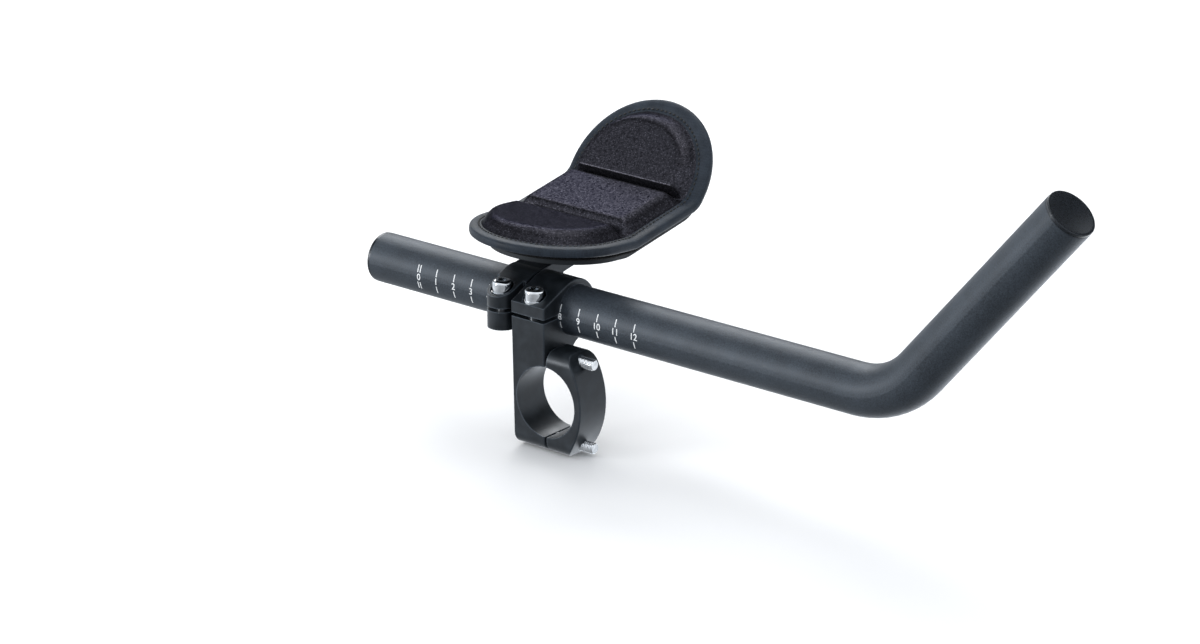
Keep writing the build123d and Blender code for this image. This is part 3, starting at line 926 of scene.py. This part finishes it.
# %% Cut the threads
BOLT_RADIUS, THREAD_PITCH, THREAD_DEPTH, BOLT_TIP = 2.5, 0.9, 0.42, 0.5
PLAIN_SHARE = 0.55
WELD = 0.001 * MM


def threaded_bolt(node, name):
    """A bolt along Y: the head and plain shank of the CAD bolt, with a threaded front half."""
    low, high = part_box(node)
    start = low.y + PLAIN_SHARE * (high.y - low.y)
    length = high.y - start
    middle = (low + high) / 2
    piece = in_scene(name, bpy.data.meshes.new(name))
    grown(
        piece,
        thread_tree,
        {
            "Radius": BOLT_RADIUS * MM,
            "Length": length,
            "Pitch": THREAD_PITCH * MM,
            "Depth": THREAD_DEPTH * MM,
            "Tip": BOLT_TIP * MM,
            "Metal": steel,
        },
    )
    upright_to_y = Matrix.Rotation(-math.pi / 2, 4, "X")
    piece.data.transform(Matrix.Translation((middle.x, start + length / 2, middle.z)) @ upright_to_y)
    work = bmesh.new()
    work.from_mesh(nodes[node].data)
    bmesh.ops.remove_doubles(work, verts=work.verts, dist=WELD)
    split = bmesh.ops.bisect_plane(
        work,
        geom=work.verts[:] + work.edges[:] + work.faces[:],
        plane_co=(0, start, 0),
        plane_no=(0, 1, 0),
        clear_outer=True,
    )
    rim = [item for item in split["geom_cut"] if isinstance(item, bmesh.types.BMEdge)]
    bmesh.ops.edgeloop_fill(work, edges=rim)
    bmesh.ops.recalc_face_normals(work, faces=work.faces)
    work.from_mesh(piece.data)
    work.to_mesh(piece.data)
    work.free()
    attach(piece, "mounting")
    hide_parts(node)
    return piece


for node in ("upper_clamp_bolt", "lower_clamp_bolt"):
    bolt = threaded_bolt(node, node.replace("clamp_bolt", "threaded_bolt"))
    print(bolt.name, len(bolt.data.polygons), "faces")

# %% [markdown]
# The studio has a wide pale floor, painted matt. Black metal is drawn by what it mirrors, so the floor is
# left out of its reflections, as a photographer does with a dark cloth, and the sides of the part stay deep.

# %% Floor
FLOOR_REACH, FLOOR_GAP = 6.0, 1.0 * MM
level = cad_low.z - FLOOR_GAP
corners = [(x * FLOOR_REACH, y * FLOOR_REACH, level) for x, y in ((-1, -1), (1, -1), (1, 1), (-1, 1))]
floor_mesh = bpy.data.meshes.new("floor")
floor_mesh.from_pydata(corners, [], [(0, 1, 2, 3)])
floor_paint, tree, surface, place = new_finish("pale_floor_paint", {"Roughness": 0.9})
patches = add(tree, "ShaderNodeTexNoise", {"Vector": place, "Scale": 1.5})
paint(tree, surface, patches, "#f4f4f4", "#f8f8f8")
floor_mesh.materials.append(floor_paint)
floor = in_scene("floor", floor_mesh)
floor.visible_glossy = False
floor.visible_diffuse = False
print("floor", round((cad_low.z - level) / MM, 1), "mm under the part")

# %% [markdown]
# The room is brightest high up behind the part and dim in a ring around that, which gives the tube and the
# cushions their pale ridges between dark flanks. One brighter patch low at the right works like a white
# card: it draws a pale rim down the raised grip.

# %% Room
BRIGHT_WAY = (-0.5, -0.3, 0.812)
ROOM_STOPS = ((0.0, 0.26), (0.7, 0.22), (0.8, 0.1), (0.905, 0.12), (0.96, 1.2), (1.0, 1.5))
ROOM_TINT = (0.94, 0.98, 1.03)
CARD_WAY = (-0.718, -0.1, -0.689)
CARD = {"From Min": 0.8, "From Max": 0.97, "To Min": 1.0, "To Max": 2.6}

scene.view_settings.view_transform = "Standard"
scene.world = bpy.data.worlds.new("studio_room")
scene.world.use_nodes = True
room = scene.world.node_tree
room.nodes.clear()
way = add(room, "ShaderNodeTexCoord").outputs["Generated"]
toward = add(room, "ShaderNodeVectorMath", {0: way, 1: BRIGHT_WAY}, operation="DOT_PRODUCT")
share = add(
    room, "ShaderNodeMapRange", {"Value": toward.outputs["Value"], "From Min": -1.0, "From Max": 1.0}
)
tones = add(room, "ShaderNodeValToRGB", {"Fac": share})
steps = tones.color_ramp.elements
for stop, bright in ROOM_STOPS:
    step = steps.new(stop) if 0 < stop < 1 else steps[round(stop)]
    step.color = tuple(bright * channel for channel in ROOM_TINT) + (1.0,)
toward_card = add(room, "ShaderNodeVectorMath", {0: way, 1: CARD_WAY}, operation="DOT_PRODUCT")
strength = add(room, "ShaderNodeMapRange", {"Value": toward_card.outputs["Value"], **CARD})
sky = add(room, "ShaderNodeBackground", {"Color": tones, "Strength": strength})
add(room, "ShaderNodeOutputWorld", {"Surface": sky})
print("room:", len(steps), "steps of brightness")

# %% [markdown]
# Three soft boxes light the part: a large one behind that draws the bright line along the tube and the
# ridges of the pad, a low one at the left for the faces of the clamps, and a weak one overhead.

# %% Soft boxes
AIM = Vector((-0.02, 0.07, 0.04))


def soft_box(name, place, size, watts):
    lamp = bpy.data.lights.new(name, "AREA")
    lamp.shape = "RECTANGLE"
    lamp.size, lamp.size_y = size
    lamp.energy = watts
    holder = in_scene(name, lamp)
    holder.location = place
    holder.rotation_euler = (AIM - Vector(place)).to_track_quat("-Z", "Y").to_euler()
    holder.visible_camera = False


soft_box("behind", place=(-0.93, -0.98, 1.0), size=(1.3, 0.9), watts=17.0)
soft_box("left", place=(1.25, -0.9, 0.28), size=(0.6, 0.5), watts=11.0)
soft_box("overhead", place=(-0.3, 0.1, 1.5), size=(1.2, 0.9), watts=6.0)

# %% [markdown]
# The camera stands in front of the rider, to the inboard side and a little above, with a long lens. Its
# place and direction were measured against the tube, the scale and the clamps.

# %% Camera
CAMERA_PLACE = (1.30875, 1.0958, 0.6567)
CAMERA_RIGHT = (-0.6335, 0.7737, -0.0017)
CAMERA_UP = (-0.2662, -0.2159, 0.9394)
CAMERA_BACK = (0.7265, 0.5956, 0.3428)
camera_data = bpy.data.cameras.new("camera")
camera_data.lens = 128.53
camera_data.sensor_width = 36.0
turn = Matrix((CAMERA_RIGHT, CAMERA_UP, CAMERA_BACK)).transposed()
camera = in_scene("camera", camera_data)
camera.matrix_world = Matrix.Translation(CAMERA_PLACE) @ turn.to_4x4()
scene.camera = camera
print("camera", round(Vector(CAMERA_PLACE).length, 2), "m away, lens", camera_data.lens, "mm")
